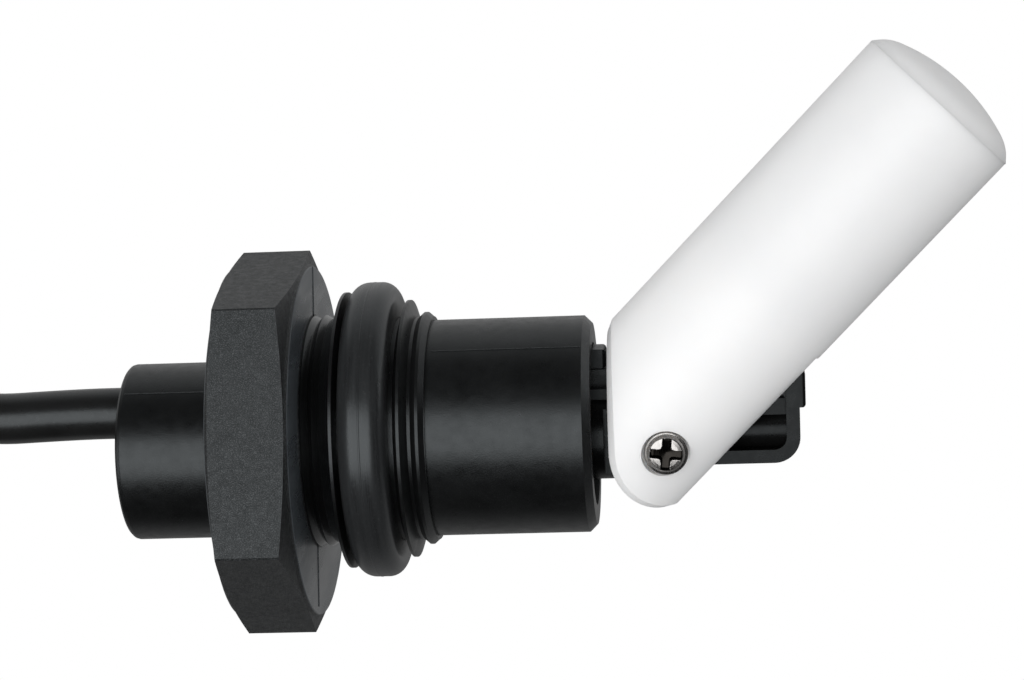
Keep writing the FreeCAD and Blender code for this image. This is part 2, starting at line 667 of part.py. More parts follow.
def main():
    os.makedirs("parts", exist_ok=True)
    pieces = {
        "housing": housing(),
        "sealing_ring": sealing_ring(),
        "stem": stem(),
        "tip_clip": tip_clip(),
        "pivot_bush": pivot_bush(),
        "pivot_screw": pivot_screw(),
        "pivot_nut": pivot_nut(),
        "float_shell": float_shell(),
        "float_end_cap": float_end_cap(),
        "potting_plug": potting_plug(),
        "reed_glass": reed_glass(),
        "cable_run": cable_run(),
        "cable_coil": cable_coil(),
        "cable_tie": cable_tie(),
        "cable_tail": cable_tail(),
    }
    pieces.update(magnet_parts())
    pieces.update(reed_blades())
    pieces.update(splice_parts())
    pieces.update(end_cores())
    for name, shape in pieces.items():
        save(name, shape)


main()
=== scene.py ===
import math

import bpy
from mathutils import Matrix, Vector


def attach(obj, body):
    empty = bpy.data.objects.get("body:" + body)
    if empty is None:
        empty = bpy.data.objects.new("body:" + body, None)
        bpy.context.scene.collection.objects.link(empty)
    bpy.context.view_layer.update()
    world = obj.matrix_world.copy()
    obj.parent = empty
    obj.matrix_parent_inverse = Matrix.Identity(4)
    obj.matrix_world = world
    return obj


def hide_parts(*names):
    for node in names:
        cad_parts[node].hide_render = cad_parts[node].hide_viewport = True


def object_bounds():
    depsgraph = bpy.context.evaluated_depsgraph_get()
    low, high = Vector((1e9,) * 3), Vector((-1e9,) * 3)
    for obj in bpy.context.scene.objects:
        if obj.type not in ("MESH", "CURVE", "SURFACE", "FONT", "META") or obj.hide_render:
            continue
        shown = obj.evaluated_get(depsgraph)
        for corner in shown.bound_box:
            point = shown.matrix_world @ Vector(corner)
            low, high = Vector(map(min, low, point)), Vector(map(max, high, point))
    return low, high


# Looks of a side mounted float level switch: black moulded body, rubber ring, milky float, cable.
# Metres in Blender, millimetres in the values below, unless they say metres. X runs along the
# thread into the tank, Z is up, and +Y is the side with the screw's head.

MM = 0.001
SHARP = 40                # degrees between faces from which an edge is sharp
TURN_STEPS = 180          # points round a turned surface
ROUND_STEPS = 10          # faces over a rounded corner

# Finishes
WHITE = (1.0, 1.0, 1.0, 1.0)
SHINE_TINT = (0.90, 0.97, 1.0, 1.0)   # gloss of the black pieces, a little blue
STEM_IOR = 1.30
FLOAT_GLOW = 0.35         # share of the light that passes into the float's plastic
FLOAT_GLOW_REACH = 0.004  # metres
FLOAT_GLOW_TINT = (1.0, 0.95, 0.9)   # share of that reach for each colour
NOISE_SPAN = (0.3, 0.7)   # holds most of what a noise gives
NOISE_ROUGH = 0.55
MASK_EDGE = 0.1           # width over which one finish fades into the next
NECK_SHINE = 0.15         # roughness of the glossy neck
SPECK_SHARE = 0.5         # how far the hexagon's specks turn grey
EVEN = (1, 1, 1)
ALONG_FLAT = (0.1, 1, 1)  # marks drawn out along X
ALONG_X = (1, 0, 0)
ACROSS_X = (0, 1, 1)
# Places of the mix node's sockets, whose names repeat for each kind of value
MIX_NUMBERS = (2, 3)
MIX_COLOURS = (6, 7)
MIX_COLOUR_OUT = 2

# Cable, with the same route as in the part's source
CABLE_D = 6.2 * MM        # metres
CABLE_START = [(-15.9, -2.85), (-21.5, -2.85)]
ROUTE = [
    (-28.0, -2.85),
    (-42.5, -2.3),
    (-57.5, -7.8),
    (-69.4, -19.9),
    (-75.1, -36.45),
    (-76.2, -49.4),
]
COIL_R = 34.5
COIL_CENTRE = (-113.5, -54.0)
TURN_SIDE = 3.15          # half the distance between strands
TURN_POINTS = 16
SHIFT_POINTS = 4          # last points of a turn, over which the strands shift to the next slot
ENTRY_SIDE = -1.2         # last point but one before the coil, on its way to the first slot
TAIL_LONG = 34.0
TAIL_SHARES = (0.0, 0.33, 0.67, 1.0)
CORD_ROUND = 7            # how finely the cord is divided round a quarter
CORD_STEPS = 12           # and between two points along it

# Camera, fitted to the photograph, which was taken with the switch upside down
CAMERA_AT = (50.15, 279.38, -66.04)
CAMERA_RIGHT = (0.99571, -0.07966, 0.04706)
CAMERA_UP = (0.03049, -0.19771, -0.97979)
CAMERA_AHEAD = (-0.08736, -0.97702, 0.19443)
PHOTO_WIDTH = 1024
FOCAL_PX = 2400
SENSOR_WIDTH = 36.0
CLIP = (0.01, 50.0)       # metres

# Floor
FLOOR_SIZE = 6.0          # metres
FLOOR_GAP = 0.5 * MM      # metres
FLOOR_LIFT = 0.34         # light added to the floor for the camera alone, so that it shows pale

# Light
MIDDLE = (30.0, 0.0, -5.0)
KEY_FROM = (-220.0, 890.0, -60.0)
KEY_SIZE = (1.10, 0.85)   # metres
KEY_LEVEL = 2.35          # radiance of the key lamp, where 1 is white
FILL_LOW = 0.95           # light of the room from below, which is the photograph's upper side
FILL_HIGH = 0.30          # and from above
FILL_SPAN = (0.9, -0.9)   # directions along Z between which it changes
MIRROR_LEVEL = 0.55       # room behind the object, as gloss shows it
MIRROR_DARK = 0.03        # and in front of it
MIRROR_SPAN = (0.15, -0.45)        # directions along Y between which it changes
MIRROR_HIGH = 0.45        # share of that which gloss shows above the object
MIRROR_RISE = (0.5, -0.4)          # directions along Z between which that changes

# Sealing ring
RING_X = (5.95, 11.5)     # a little short of the solid, which leaves a groove at the thread
RING_INNER_R = 13.45
RING_R = 17.7
RING_ROUND = (2.2, 1.9)   # rear and front outer corner
FLASH_X = 8.7             # line of flash round the ring
FLASH_HALF = 0.12
FLASH_HIGH = 0.03
FLASH_CORNERS = 5
FLASH_SUNK = 0.1

# Float and screw, both hung at rest
PIVOT = (43.25, 0.0, 1.6)
SWING = 45.5
FLOAT_SHIFT = 3.75        # float axis to pivot
FLOAT_LONG = 50.2         # pivot to the end of the tube
FLOAT_R = 10.45
CAP_BEVEL = 1.45          # along the axis
CAP_FLAT_R = 9.25         # where the bevel meets the dome
CAP_DOME = 1.9
CAP_START = 0.35          # share of the bevel that stays plain before the corner is rounded
CAP_MEET = 0.85           # share of the dome that stays plain inside the rounded corner
CAP_CORNER_STEPS = 10
CAP_DOME_STEPS = 18
CAP_STEPS = 240           # points round the cap
CAP_LAP = 0.04            # the cap's rim reaches this far over the tube, so that no dark seam shows
CAP_LIP = 0.02            # and stands this far proud of it
CAP_SPIGOT = 2.6
SPIGOT_R = 8.8
SHAFT_R = 1.5
SEAT_Y = 8.3              # seat of the screw's head, from the middle
# Section of the screw's head, (r, height over its seat), up the side and in over the top
HEAD_SIDE = [(2.46, 0.0), (2.54, 0.4), (2.58, 0.85), (2.55, 1.08), (2.47, 1.18)]
HEAD_TOP = [(2.47, 1.18), (2.26, 1.25), (2.16, 1.36), (2.05, 1.56), (1.92, 1.72), (1.5, 1.8),
            (0.8, 1.86), (0.0, 1.88)]
HEAD_ROWS = 56
ARM_LONG = 1.84
ARM_HALF = 0.5
ARM_TURN = 6.0
ARM_CORNER = 0.55         # rounding where two arms meet
RECESS_DEEP = 1.25
RECESS_RISE = 0.42        # share of its depth that the recess loses at the ends of its arms
WALL_FOOT = 0.05          # distance outside the arms where the recess begins
WALL_WIDE = 0.16          # width over which it reaches its depth
DIRT_AND_SHADE_HEIGHT = (1.45, 1.62)   # heights over the seat between which the recess's dark, dirt with painted shade, gives way to bright steel
DIRT_AND_SHADE_PAST = 0.05          # distance past the arms that the dirt and painted shade reach

# Hexagon and neck, as the finish of the plastic follows them
HEX_MIDDLE = (-3.63, 0.0, 0.0)
HEX_HALF = 4.8
SEAT_DEEP = (0.15, 0.05)  # depths under the seat between which its smudges and painted reflection set in
NECK_MIDDLE = (2.9, 0.0, 0.0)
NECK_HALF = 1.68
INNER_R = 14.0            # the seat's smudges and painted reflection end here, and the neck's gloss begins
INNER_EDGE = 0.2

# Small mouldings that the solids leave out. The neck's ridges are given by (x, r).
NECK_FOOT = 13.35
NECK_SECTION = [(1.1, 13.85), (1.4, 13.93), (1.62, 13.8), (2.1, 13.43), (2.5, 13.8), (2.7, 13.93),
                (2.9, 13.8), (3.4, 13.43), (4.1, 13.6), (4.55, 13.9)]
BARREL_R = 12.95
BARREL_SPAN = (16.2, 33.7)
BOSS_R = 10.65
BOSS_RISE = 2.0
BOSS_SPAN = (-20.7, -8.45)
LINE_R = 0.09             # mould lines
LINE_SIDES = 8
BARREL_LINE = 146.6       # degrees from +Z toward +Y
BOSS_LINE = 143.6
FACE_X = 1.15
FACE_LINE = [(-3.4, -19.6), (7.3, 19.9)]   # (y, z) on the hexagon's seat


def mm(x, y, z):
    return Vector((x, y, z)) * MM


def link(obj):
    bpy.context.scene.collection.objects.link(obj)
    return obj


# Materials

class Nodes:
    """A node tree, with short ways to add to it."""

    def __init__(self, tree):
        self.tree = tree

    def node(self, kind, **settings):
        made = self.tree.nodes.new(kind)
        for key, value in settings.items():
            setattr(made, key, value)
        return made

    def put(self, value, socket):
        """A number, a colour or another node's output, into a socket."""
        if isinstance(value, bpy.types.NodeSocket):
            self.tree.links.new(value, socket)
        else:
            socket.default_value = value

    def fill(self, made, values):
        """Values into the first sockets of a node, in order."""
        for socket, value in zip(made.inputs, values):
            self.put(value, socket)

    def between(self, value, low, high, to_low=0.0, to_high=1.0, **settings):
        """A value from low to high, turned into one from to_low to to_high, and kept there."""
        made = self.node("ShaderNodeMapRange", **settings)
        self.fill(made, (value, low, high, to_low, to_high))
        return made.outputs[0]

    def times(self, first, second):
        made = self.node("ShaderNodeMath", operation="MULTIPLY")
        self.fill(made, (first, second))
        return made.outputs[0]


class Finish(Nodes):
    """A principled surface, with short ways to add what varies it."""

    def __init__(self, name, metallic=0.0, **inputs):
        self.mat = bpy.data.materials.new(name)
        self.mat.use_nodes = True
        super().__init__(self.mat.node_tree)
        self.surface = self.tree.nodes["Principled BSDF"]
        self.surface.inputs["Metallic"].default_value = metallic
        for socket, value in inputs.items():
            self.surface.inputs[socket.replace("_", " ")].default_value = value

    def place(self, stretch=EVEN):
        """The spot on the object in millimetres, squeezed along each axis by stretch."""
        where = self.node("ShaderNodeTexCoord")
        scaled = self.node("ShaderNodeVectorMath", operation="MULTIPLY")
        self.fill(scaled, (where.outputs["Object"], [s / MM for s in stretch]))
        return scaled.outputs[0]

    def noise(self, size, detail=3.0, stretch=EVEN):
        """Clouds or grain, about size millimetres across."""
        made = self.node("ShaderNodeTexNoise")
        self.put(self.place(stretch), made.inputs["Vector"])
        made.inputs["Scale"].default_value = 1.0 / size
        made.inputs["Detail"].default_value = detail
        made.inputs["Roughness"].default_value = NOISE_ROUGH
        return made.outputs[0]

    def spread(self, noise, to_low=0.0, to_high=1.0):
        """What a noise mostly gives, turned into numbers from to_low to to_high."""
        return self.between(noise, *NOISE_SPAN, to_low, to_high)

    def inside(self, distance, limit, edge=MASK_EDGE):
        """1 where a distance is under the limit, and 0 past a narrow edge."""
        return self.between(distance, limit, limit + edge, 1.0, 0.0)

    def opposite(self, share):
        return self.between(share, 0.0, 1.0, 1.0, 0.0)

    def blend(self, share, first, second):
        """A colour between two others."""
        made = self.node("ShaderNodeMix", data_type="RGBA")
        self.put(share, made.inputs[0])
        for place, value in zip(MIX_COLOURS, (first, second)):
            self.put(value, made.inputs[place])
        return made.outputs[MIX_COLOUR_OUT]

    def mix(self, share, first, second):
        """A number between two others."""
        made = self.node("ShaderNodeMix")
        self.put(share, made.inputs[0])
        for place, value in zip(MIX_NUMBERS, (first, second)):
            self.put(value, made.inputs[place])
        return made.outputs[0]

    def reach(self, middle, stretch):
        """Distance in millimetres from a spot, with only the axes that stretch keeps."""
        offset = self.node("ShaderNodeVectorMath", operation="SUBTRACT")
        self.fill(offset, (self.place(stretch), [m * s for m, s in zip(middle, stretch)]))
        length = self.node("ShaderNodeVectorMath", operation="LENGTH")
        self.put(offset.outputs[0], length.inputs[0])
        return length.outputs["Value"]

    def bump(self, height, deep, before=None):
        """Relief of deep millimetres."""
        made = self.node("ShaderNodeBump")
        made.inputs["Distance"].default_value = deep * MM
        self.put(height, made.inputs["Height"])
        if before is not None:
            self.put(before, made.inputs["Normal"])
        return made.outputs[0]

    def colour(self, value):
        self.put(value, self.surface.inputs["Base Color"])

    def roughness(self, value):
        self.put(value, self.surface.inputs["Roughness"])

    def normal(self, value):
        self.put(value, self.surface.inputs["Normal"])


def rgb(red, green, blue):
    return (red, green, blue, 1.0)


def grey(level, warm=0.0):
    return rgb(level * (1 + warm), level, level * (1 - warm))


def stem_plastic():
    """Plain black plastic of the stem, cloudy with a fine grain."""
    look = Finish("stem_plastic", Specular_Tint=SHINE_TINT, IOR=STEM_IOR)
    cloud = look.between(look.noise(size=7.0, detail=4.0), low=0.35, high=0.68)
    look.colour(look.blend(cloud, grey(0.002), grey(0.005)))
    look.roughness(look.spread(look.noise(size=1.2, detail=5.0), 0.24, 0.34))
    wave = look.bump(look.noise(size=3.0, detail=2.0), deep=0.02)
    look.normal(look.bump(look.noise(size=0.16, detail=2.0), deep=0.008, before=wave))
    return look.mat


def housing_plastic():
    """Body's black: speckled grain on the hexagon, smudged seat with painted reflection, glossy neck,
    satin elsewhere.
    """
    look = Finish("housing_plastic", Specular_Tint=SHINE_TINT)
    radius = look.reach((0, 0, 0), ACROSS_X)
    from_middle = look.reach(HEX_MIDDLE, ALONG_X)
    whole = look.inside(from_middle, HEX_HALF)
    under_seat = look.between(from_middle, *[HEX_HALF - deep for deep in SEAT_DEEP])
    outside = look.between(radius, INNER_R, INNER_R + INNER_EDGE)
    seat = look.times(look.times(under_seat, whole), outside)
    rest = look.opposite(seat)
    hexagon = look.times(whole, rest)
    neck = look.inside(look.reach(NECK_MIDDLE, ALONG_X), NECK_HALF)
    neck = look.times(neck, look.inside(radius, INNER_R, INNER_EDGE))

    cloud = look.between(look.noise(size=5.0, detail=4.0), low=0.35, high=0.68)
    base = look.blend(cloud, grey(0.003, -0.04), grey(0.006, -0.04))
    smudge = look.noise(size=2.0, detail=4.0, stretch=(1, 0.1, 0.5))
    smudge_share = look.between(smudge, low=0.35, high=0.65)
    # Painted reflection: the seat is lifted from black to a pale blue grey, as a grazing reflection of
    # the bright room shows it, streaked by the smudge noise
    dust_and_sheen = look.blend(smudge_share, grey(0.042, -0.12), grey(0.072, -0.12))
    base = look.blend(seat, base, dust_and_sheen)
    grain = look.noise(size=0.11)
    speck = look.times(look.between(grain, low=0.50, high=0.66), hexagon)
    look.colour(look.blend(look.times(speck, SPECK_SHARE), base, grey(0.13, -0.04)))

    satin = look.spread(look.noise(size=1.2, detail=5.0), 0.27, 0.38)
    coarse = look.spread(look.noise(size=0.8, detail=4.0), 0.42, 0.56)
    shine = look.mix(hexagon, satin, coarse)
    shine = look.mix(seat, shine, look.mix(smudge_share, 0.20, 0.36))
    look.roughness(look.mix(neck, shine, NECK_SHINE))
    wave = look.bump(look.noise(size=3.0, detail=2.0), deep=0.02)
    fine = look.times(look.noise(size=0.15, detail=2.0), rest)
    fine = look.bump(fine, deep=0.013, before=wave)
    look.normal(look.bump(look.times(grain, hexagon), deep=0.026, before=fine))
    return look.mat


def seal_rubber():
    """Dark grey rubber with soft streaks that run round the ring."""
    look = Finish("seal_rubber", Specular_Tint=SHINE_TINT)
    streak = look.noise(size=0.5, detail=4.0, stretch=(1.0, 0.04, 0.04))
    dust_and_sheen = look.noise(size=0.3)
    streak_share = look.between(streak, low=0.35, high=0.7)
    base = look.blend(streak_share, grey(0.015, -0.05), grey(0.023, -0.05))
    look.colour(look.blend(look.between(dust_and_sheen, 0.6, 0.8, 0.0, 0.35), base, grey(0.08, -0.03)))
    look.roughness(look.spread(streak, 0.25, 0.36))
    wave = look.bump(streak, deep=0.007)
    look.normal(look.bump(dust_and_sheen, deep=0.012, before=wave))
    return look.mat


def cable_sheath():
    """Satin black sheath with a fine grain and slight waves."""
    look = Finish("cable_sheath", Specular_Tint=SHINE_TINT)
    fine = look.noise(size=0.35)
    cloud = look.noise(size=9.0, detail=2.0)
    look.colour(look.blend(look.between(cloud, low=0.35, high=0.65), grey(0.006), grey(0.010)))
    look.roughness(look.spread(fine, 0.27, 0.36))
    wave = look.bump(cloud, deep=0.08)
    look.normal(look.bump(fine, deep=0.006, before=wave))
    return look.mat


def float_plastic():
    """Milky white plastic, satin, with light passing a little way in."""
    look = Finish("float_plastic", Subsurface_Weight=FLOAT_GLOW, Subsurface_Scale=FLOAT_GLOW_REACH,
                  Subsurface_Radius=FLOAT_GLOW_TINT, IOR=1.5)
    cloud = look.spread(look.noise(size=12.0))
    fine = look.noise(size=0.35)
    look.colour(look.blend(cloud, rgb(0.885, 0.887, 0.89), grey(0.915)))
    look.roughness(look.spread(fine, 0.36, 0.46))
    wave = look.bump(look.noise(size=4.0, detail=2.0), deep=0.02)
    look.normal(look.bump(fine, deep=0.004, before=wave))
    return look.mat


def screw_steel():
    """Stainless steel, bright on the dome and dark in the cross recess, with dirt and painted shade."""
    look = Finish("screw_steel", metallic=1.0)
    scratch = look.noise(size=0.10, detail=4.0, stretch=(1.0, 1.0, 0.12))
    stain = look.between(look.noise(size=0.9), low=0.35, high=0.7)
    bright = look.blend(stain, grey(0.38, 0.03), grey(0.48, 0.03))
    high = look.between(look.reach(PIVOT, (0, 1, 0)), *[SEAT_Y + high for high in DIRT_AND_SHADE_HEIGHT])
    near = look.inside(look.reach(PIVOT, (1, 0, 1)), ARM_LONG + DIRT_AND_SHADE_PAST, DIRT_AND_SHADE_PAST)
    dirt_and_shade = look.times(look.opposite(high), near)
    # Painted shade: the cross recess is coloured near black, dirt together with the shade that falls in
    # it
    look.colour(look.blend(dirt_and_shade, bright, grey(0.022, 0.10)))
    look.roughness(look.spread(scratch, 0.20, 0.32))
    look.normal(look.bump(scratch, deep=0.0015))
    return look.mat


def plain_plastic(name, first, second, shine, grain=0.3):
    """Moulded or extruded plastic with a slight change of colour over it."""
    look = Finish(name)
    cloud = look.between(look.noise(size=4.0), low=0.35, high=0.65)
    fine = look.noise(size=grain)
    look.colour(look.blend(cloud, first, second))
    look.roughness(look.spread(fine, shine - 0.05, shine + 0.06))
    look.normal(look.bump(fine, deep=0.006))
    return look.mat


def metal(name, first, second, shine, stretch=EVEN):
    """Metal with fine scratches, and a slight change of colour over it."""
    look = Finish(name, metallic=1.0)
    scratch = look.noise(size=0.2, detail=4.0, stretch=stretch)
    cloud = look.between(look.noise(size=1.5), low=0.35, high=0.65)
    look.colour(look.blend(cloud, first, second))
    look.roughness(look.spread(scratch, shine - 0.06, shine + 0.08))
    look.normal(look.bump(scratch, deep=0.004))
    return look.mat


def reed_glass():
    """Greenish glass tube."""
    look = Finish("reed_glass", IOR=1.5, Transmission_Weight=1.0)
    wave = look.noise(size=1.2, detail=2.0)
    look.colour(look.blend(look.spread(wave), rgb(0.72, 0.9, 0.78), rgb(0.8, 0.95, 0.85)))
    look.roughness(look.spread(wave, 0.02, 0.06))
    look.normal(look.bump(wave, deep=0.01))
    return look.mat


def make_materials():
    """One material for each slot of the record."""
    made = [
        housing_plastic(),
        seal_rubber(),
        stem_plastic(),
        cable_sheath(),
        float_plastic(),
        screw_steel(),
        reed_glass(),
        plain_plastic("bush_plastic", rgb(0.72, 0.70, 0.64), rgb(0.78, 0.76, 0.71), 0.45),
        plain_plastic("potting", grey(0.008), grey(0.014), 0.22, grain=0.8),
        plain_plastic("core_brown", rgb(0.16, 0.07, 0.03), rgb(0.22, 0.10, 0.05), 0.35),
        plain_plastic("core_blue", rgb(0.03, 0.12, 0.40), rgb(0.05, 0.17, 0.50), 0.35),
        plain_plastic("sleeve", grey(0.42), grey(0.50), 0.5),
        plain_plastic("tie_plastic", grey(0.008), grey(0.014), 0.36),
        metal("blade_metal", grey(0.52, 0.03), grey(0.64, 0.03), 0.3, ALONG_FLAT),
        metal("lead_metal", rgb(0.80, 0.50, 0.33), rgb(0.9, 0.62, 0.45), 0.3, ALONG_FLAT),
        metal("end_metal", grey(0.66), grey(0.78), 0.32, (1, 1, 0.2)),
        metal("magnet", grey(0.16), grey(0.24), 0.5),
    ]
    return {slot_name(material): material for material in made}


def slot_name(material):
    """Name of a material without the number that Blender adds where the name is taken."""
    return material.name.split(".")[0]


def paint(materials):
    """Give each CAD node its slot's material."""
    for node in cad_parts.values():
        for spot in node.material_slots:
            spot.material = materials[slot_name(spot.material)]


# Camera, lamps, room and floor

def make_camera():
    """Camera at the photograph's angle."""
    data = bpy.data.cameras.new("camera")
    data.sensor_width = SENSOR_WIDTH
    data.lens = FOCAL_PX / PHOTO_WIDTH * SENSOR_WIDTH
    camera = link(bpy.data.objects.new("camera", data))
    right, up, ahead = Vector(CAMERA_RIGHT), Vector(CAMERA_UP), Vector(CAMERA_AHEAD)
    turn = Matrix((right, up, -ahead)).transposed().to_4x4()
    camera.matrix_world = Matrix.Translation(mm(*CAMERA_AT)) @ turn
    data.clip_start, data.clip_end = CLIP
    bpy.context.scene.camera = camera


def make_key():
    """One large soft lamp near the camera."""
    data = bpy.data.lights.new("key", "AREA")
    data.shape = "RECTANGLE"
    data.size, data.size_y = KEY_SIZE
    data.energy = KEY_LEVEL * math.pi * data.size * data.size_y
    lamp = link(bpy.data.objects.new("key", data))
    lamp.location = mm(*KEY_FROM)
    toward = mm(*MIDDLE) - lamp.location
    lamp.rotation_euler = toward.to_track_quat("-Z", "Y").to_euler()


def make_room():
    """White for the camera, soft light for the surfaces, and for gloss a room bright behind."""
    world = bpy.data.worlds.new("room")
    bpy.context.scene.world = world
    world.use_nodes = True
    room = Nodes(world.node_tree)
    room.tree.nodes.clear()

    def ranged(value, span, to_low, to_high):
        return room.between(value, *span, to_low, to_high, interpolation_type="SMOOTHSTEP")

    def background(level):
        made = room.node("ShaderNodeBackground")
        room.fill(made, (WHITE, level))
        return made.outputs[0]

    def choose(share, first, second):
        made = room.node("ShaderNodeMixShader")
        room.fill(made, (share, first, second))
        return made.outputs[0]

    way = room.node("ShaderNodeSeparateXYZ")
    room.put(room.node("ShaderNodeTexCoord").outputs["Generated"], way.inputs[0])
    behind = ranged(way.outputs["Y"], MIRROR_SPAN, MIRROR_DARK, MIRROR_LEVEL)
    below = ranged(way.outputs["Z"], MIRROR_RISE, MIRROR_HIGH, 1.0)
    mirror = background(room.times(behind, below))
    fill = background(ranged(way.outputs["Z"], FILL_SPAN, FILL_HIGH, FILL_LOW))
    path = room.node("ShaderNodeLightPath")
    gloss = room.node("ShaderNodeMath", operation="MAXIMUM")
    room.fill(gloss, (path.outputs["Is Glossy Ray"], path.outputs["Is Transmission Ray"]))
    seen = choose(gloss.outputs[0], fill, mirror)
    seen = choose(path.outputs["Is Camera Ray"], seen, background(1.0))
    room.put(seen, room.node("ShaderNodeOutputWorld").inputs[0])


def make_floor():
    """Pale floor under the object, which takes its shadow and isn't seen in gloss."""
    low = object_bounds()[0].z - FLOOR_GAP
    bpy.ops.mesh.primitive_plane_add(size=FLOOR_SIZE, location=(0, 0, low))
    floor = bpy.context.object
    floor.name = "floor"
    look = Finish("floor_paint")
    look.colour(look.blend(look.spread(look.noise(size=60.0)), grey(0.84), grey(0.87)))
    look.roughness(look.spread(look.noise(size=3.0), 0.6, 0.75))
    look.surface.inputs["Emission Color"].default_value = WHITE
    seen = look.node("ShaderNodeLightPath").outputs["Is Camera Ray"]
    look.put(look.times(seen, FLOOR_LIFT), look.surface.inputs["Emission Strength"])
    floor.data.materials.append(look.mat)
    floor.visible_glossy = False
    floor.visible_shadow = False


# Cable

def coil_points():
    """Turns of the coil: each strand keeps its slot, and all shift to the next slot together."""
    slots = [(1, -1), (-1, -1), (-1, 1), (1, 1)]   # out and sideways, in half distances
    spots = []
    total = len(slots) * TURN_POINTS
    for k in range(1, total):
        turn, step = divmod(k, TURN_POINTS)
        angle = 2 * math.pi * k / TURN_POINTS
        here = slots[turn]
        share = max(0.0, step - (TURN_POINTS - SHIFT_POINTS)) / SHIFT_POINTS
        after = slots[min(turn + 1, len(slots) - 1)]
        out = TURN_SIDE * (here[0] + (after[0] - here[0]) * share)
        side = TURN_SIDE * (here[1] + (after[1] - here[1]) * share)
        r = COIL_R + out
        spots.append((COIL_CENTRE[0] + r * math.cos(angle), side, COIL_CENTRE[1] - r * math.sin(angle)))
    return spots


def nurbs(name, spots, diameter):
    """A round cord on one open spline, with these points as its control points."""
    data = bpy.data.curves.new(name, "CURVE")
    data.dimensions = "3D"
    data.bevel_depth = diameter / 2
    data.bevel_resolution = CORD_ROUND
    data.resolution_u = CORD_STEPS
    data.use_fill_caps = True
    spline = data.splines.new("NURBS")
    spline.points.add(len(spots) - 1)
    for point, spot in zip(spline.points, spots):
        point.co = (*(Vector(spot) * MM), 1.0)
    spline.order_u = 3
    spline.use_endpoint_u = True
    return link(bpy.data.objects.new(name, data))


def make_cable(material):
    """One cord from the potting along the route, round the coil and down to its bare end."""
    spots = [(x, 0.0, z) for x, z in CABLE_START + ROUTE[:-2]]
    for side, (x, z) in zip((ENTRY_SIDE, -TURN_SIDE), ROUTE[-2:]):
        spots.append((x, side, z))
    spots += coil_points()
    x = COIL_CENTRE[0] + COIL_R + TURN_SIDE
    for share in TAIL_SHARES:
        spots.append((x, TURN_SIDE, COIL_CENTRE[1] - TAIL_LONG * share))
    cable = nurbs("cable", spots, CABLE_D)
    cable.data.materials.append(material)
    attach(cable, "switch_body")
    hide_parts("cable_run", "cable_coil", "cable_tail")


# Ring, cap, screw and small mouldings

def add_mesh(name, verts, faces, body, material):
    """Piece that rides on a body, shaded smooth up to its sharp edges."""
    data = bpy.data.meshes.new(name)
    data.from_pydata([Vector(v) * MM for v in verts], [], faces)
    data.polygons.foreach_set("use_smooth", [True] * len(data.polygons))
    data.set_sharp_from_angle(angle=math.radians(SHARP))
    data.materials.append(material)
    obj = link(bpy.data.objects.new(name, data))
    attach(obj, body)
    return obj


def turned(name, profile, place, body, material, steps=TURN_STEPS):
    """Surface turned about an axis, from (along, r) spots. A last spot like the first closes it."""
    start, along, side = place
    other = along.cross(side)
    verts = []
    rows = []
    closed = profile[0] == profile[-1]
    for x, r in profile[:-1] if closed else profile:
        count = 1 if r == 0 else steps
        rows.append([len(verts) + k % count for k in range(steps)])
        for k in range(count):
            a = 2 * math.pi * k / steps
            verts.append(start + along * x + (side * math.cos(a) + other * math.sin(a)) * r)
    if closed:
        rows.append(rows[0])
    return add_mesh(name, verts, quads(rows), body, material)


def quads(rows):
    """Faces between closed rows of points. A row that is one point gives triangles."""
    faces = []
    for row, after in zip(rows, rows[1:]):
        for k in range(len(row)):
            n = (k + 1) % len(row)
            corners = (row[k], after[k], after[n], row[n])
            faces.append(tuple(dict.fromkeys(corners)))
    return faces


def hoop(name, profile, material):
    """Closed ring about the thread's axis, from the (x, r) corners of its section."""
    place = (Vector((0, 0, 0)), Vector((1, 0, 0)), Vector((0, 0, 1)))
    return turned(name, profile + profile[:1], place, "switch_body", material)


def mould_line(name, ends, material):
    """Thin raised line left by the mould, half sunk in the surface, with pointed ends."""
    start, end = Vector(ends[0]), Vector(ends[1])
    along = (end - start).normalized()
    side = along.orthogonal().normalized()
    other = along.cross(side)
    verts = [start]
    sides = LINE_SIDES
    for spot in (start + along * LINE_R, end - along * LINE_R):
        for k in range(sides):
            a = 2 * math.pi * k / sides
            verts.append(spot + (side * math.cos(a) + other * math.sin(a)) * LINE_R)
    verts.append(end)
    faces = []
    for k in range(sides):
        after = (k + 1) % sides
        faces.append((0, 1 + after, 1 + k))
        faces.append((1 + k, 1 + after, 1 + sides + after, 1 + sides + k))
        faces.append((len(verts) - 1, 1 + sides + k, 1 + sides + after))
    return add_mesh(name, verts, faces, "switch_body", material)


def flash_section():
    """Section of the low rounded ridge round the ring, sunk a little at its foot."""
    foot = RING_R - FLASH_SUNK
    points = [(FLASH_X - FLASH_HALF, foot)]
    for k in range(FLASH_CORNERS):
        a = math.pi * k / (FLASH_CORNERS - 1)
        points.append((FLASH_X - FLASH_HALF * math.cos(a), RING_R + FLASH_HIGH * math.sin(a)))
    points.append((FLASH_X + FLASH_HALF, foot))
    return points


def rounding(x, r, size, toward):
    """Spots that round the outer corner (x, r) of a turned section, from its face to its rim."""
    spots = []
    for k in range(ROUND_STEPS + 1):
        a = math.radians(90 * k / ROUND_STEPS)
        spots.append((x + toward * size * (1 - math.cos(a)), r - size * (1 - math.sin(a))))
    return spots


def make_ring(material):
    """Sealing ring with evenly rounded corners."""
    rear, front = RING_X
    spots = [(rear, RING_INNER_R)] + rounding(rear, RING_R, RING_ROUND[0], 1)
    spots += rounding(front, RING_R, RING_ROUND[1], -1)[::-1] + [(front, RING_INNER_R)]
    ring = hoop("ring_smooth", spots, material)
    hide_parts("sealing_ring")


